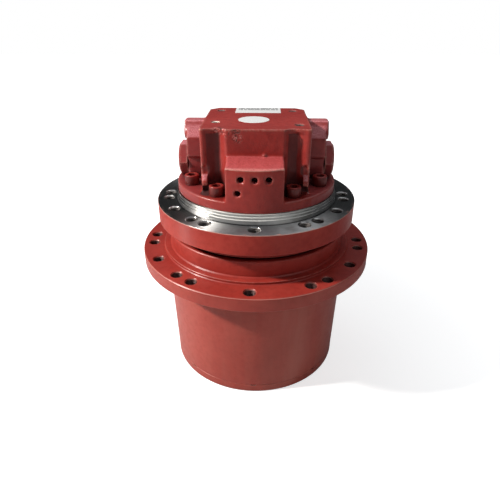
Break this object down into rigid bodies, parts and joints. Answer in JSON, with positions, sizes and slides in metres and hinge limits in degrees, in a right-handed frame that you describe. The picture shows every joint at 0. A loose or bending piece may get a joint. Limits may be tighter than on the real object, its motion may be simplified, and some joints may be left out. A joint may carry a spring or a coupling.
{
  "type": "excavator final drive",
  "caption": "Excavator track drive: a hydraulic motor in a fixed flanged spindle turns a flanged sprocket hub through planetary gears inside the barrel.",
  "frame": {"origin": "centre of the end cover's outer face, on which the part stands", "axes": "+Z along the drive axis from the end cover to the motor cover, -Y towards the front of the motor cover with the gauge holes"},
  "size_m": [0.31, 0.31, 0.344],
  "materials": {
    "hub_paint": "satin paint on cast iron",
    "spindle_paint": "satin paint, bare machined flange face",
    "motor_paint": "satin paint on cast iron",
    "black_screws": "black oxide",
    "rubber": "matt",
    "bearing_steel": "polished",
    "cage_brass": "satin",
    "seal_iron": "lapped",
    "gear_steel": "hardened and ground",
    "carrier_iron": "as cast and turned",
    "ground_steel": "ground",
    "bronze": "satin",
    "friction": "matt"
  },
  "bodies": {
    "spindle": {"spindle": "spindle_paint", "bearing_nut": "black_screws", "bearing_inner_races": "bearing_steel", "fixed_seal_ring": "seal_iron", "fixed_seal_o_ring": "rubber", "output_carrier": "carrier_iron", "carrier_screws": "black_screws", "output_pins": "ground_steel", "output_needles": "bearing_steel", "output_washers": "bronze", "shaft_bearing": "bearing_steel", "shaft_seal": "rubber", "swash_plate": "carrier_iron", "swash_balls": "bearing_steel", "speed_piston": "ground_steel", "slippers": "bronze", "slipper_retainer": "carrier_iron", "retainer_ball": "ground_steel", "pistons": "ground_steel", "cylinder_block": "carrier_iron", "valve_plate": "cage_brass", "brake_friction_discs": "friction", "brake_steel_plates": "ground_steel", "brake_piston": "carrier_iron", "brake_piston_rings": "rubber", "brake_springs": "ground_steel", "motor_cover": "motor_paint", "motor_cover_o_ring": "rubber", "cover_bearing": "bearing_steel", "cover_bolts": "motor_paint", "spool_springs": "ground_steel", "spool_caps": "motor_paint"},
    "hub": {"hub": "hub_paint", "ring_gear": "gear_steel", "end_cover": "hub_paint", "end_cover_screws": "black_screws", "end_cover_o_ring": "rubber", "oil_plugs": "black_screws", "thrust_pad": "bronze", "bearing_outer_races": "bearing_steel", "turning_seal_ring": "seal_iron", "turning_seal_o_ring": "rubber"},
    "bearing_cages": {"bearing_cages": "cage_brass", "bearing_balls": "bearing_steel"},
    "input_carrier": {"input_carrier": "carrier_iron", "input_pins": "ground_steel", "input_needles": "bearing_steel", "input_washers": "bronze", "pin_circlips": "black_screws", "output_sun_gear": "gear_steel"},
    "drive_shaft": {"drive_gear": "gear_steel", "motor_shaft": "gear_steel", "shaft_inner_race": "bearing_steel"},
    "valve_spool": {"valve_spool": "ground_steel"},
    "output_planet_1": {"output_planet_1": "gear_steel"},
    "input_planet_1": {"input_planet_1": "gear_steel"},
    "output_planet_2": {"output_planet_2": "gear_steel"},
    "input_planet_2": {"input_planet_2": "gear_steel"},
    "output_planet_3": {"output_planet_3": "gear_steel"},
    "input_planet_3": {"input_planet_3": "gear_steel"}
  },
  "joints": [
    {"name": "hub_spin", "type": "hinge", "parent": "spindle", "child": "hub", "pos_m": [0, 0, 0.1], "axis": [0, 0, 1], "continuous": true},
    {"name": "bearing_cage_spin", "type": "hinge", "parent": "spindle", "child": "bearing_cages", "pos_m": [0, 0, 0.14], "axis": [0, 0, 1], "continuous": true},
    {"name": "input_carrier_spin", "type": "hinge", "parent": "spindle", "child": "input_carrier", "pos_m": [0, 0, 0.045], "axis": [0, 0, 1], "continuous": true},
    {"name": "drive_shaft_spin", "type": "hinge", "parent": "spindle", "child": "drive_shaft", "pos_m": [0, 0, 0.12], "axis": [0, 0, 1], "continuous": true},
    {"name": "output_planet_1_spin", "type": "hinge", "parent": "spindle", "child": "output_planet_1", "pos_m": [0, 0.05775, 0.0766], "axis": [0, 0, 1], "continuous": true},
    {"name": "output_planet_2_spin", "type": "hinge", "parent": "spindle", "child": "output_planet_2", "pos_m": [-0.05001, -0.02888, 0.0766], "axis": [0, 0, 1], "continuous": true},
    {"name": "output_planet_3_spin", "type": "hinge", "parent": "spindle", "child": "output_planet_3", "pos_m": [0.05001, -0.02888, 0.0766], "axis": [0, 0, 1], "continuous": true},
    {"name": "input_planet_1_spin", "type": "hinge", "parent": "input_carrier", "child": "input_planet_1", "pos_m": [0, 0.05362, 0.031], "axis": [0, 0, 1], "continuous": true},
    {"name": "input_planet_2_spin", "type": "hinge", "parent": "input_carrier", "child": "input_planet_2", "pos_m": [-0.04644, -0.02681, 0.031], "axis": [0, 0, 1], "continuous": true},
    {"name": "input_planet_3_spin", "type": "hinge", "parent": "input_carrier", "child": "input_planet_3", "pos_m": [0.04644, -0.02681, 0.031], "axis": [0, 0, 1], "continuous": true},
    {"name": "spool_slide", "type": "slide", "parent": "spindle", "child": "valve_spool", "axis": [1, 0, 0], "range_m": [-0.004, 0.004], "stiffness_N_per_m": 4000, "deforming": ["spool_springs"]}
  ],
  "couplings": [
    {"joint": "bearing_cage_spin", "follows": "hub_spin", "ratio": 0.53},
    {"joint": "input_carrier_spin", "follows": "hub_spin", "ratio": -4.6},
    {"joint": "drive_shaft_spin", "follows": "hub_spin", "ratio": -47.533},
    {"joint": "output_planet_1_spin", "follows": "hub_spin", "ratio": 2.5556},
    {"joint": "output_planet_2_spin", "follows": "hub_spin", "ratio": 2.5556},
    {"joint": "output_planet_3_spin", "follows": "hub_spin", "ratio": 2.5556},
    {"joint": "input_planet_1_spin", "follows": "hub_spin", "ratio": 12.88},
    {"joint": "input_planet_2_spin", "follows": "hub_spin", "ratio": 12.88},
    {"joint": "input_planet_3_spin", "follows": "hub_spin", "ratio": 12.88}
  ]
}
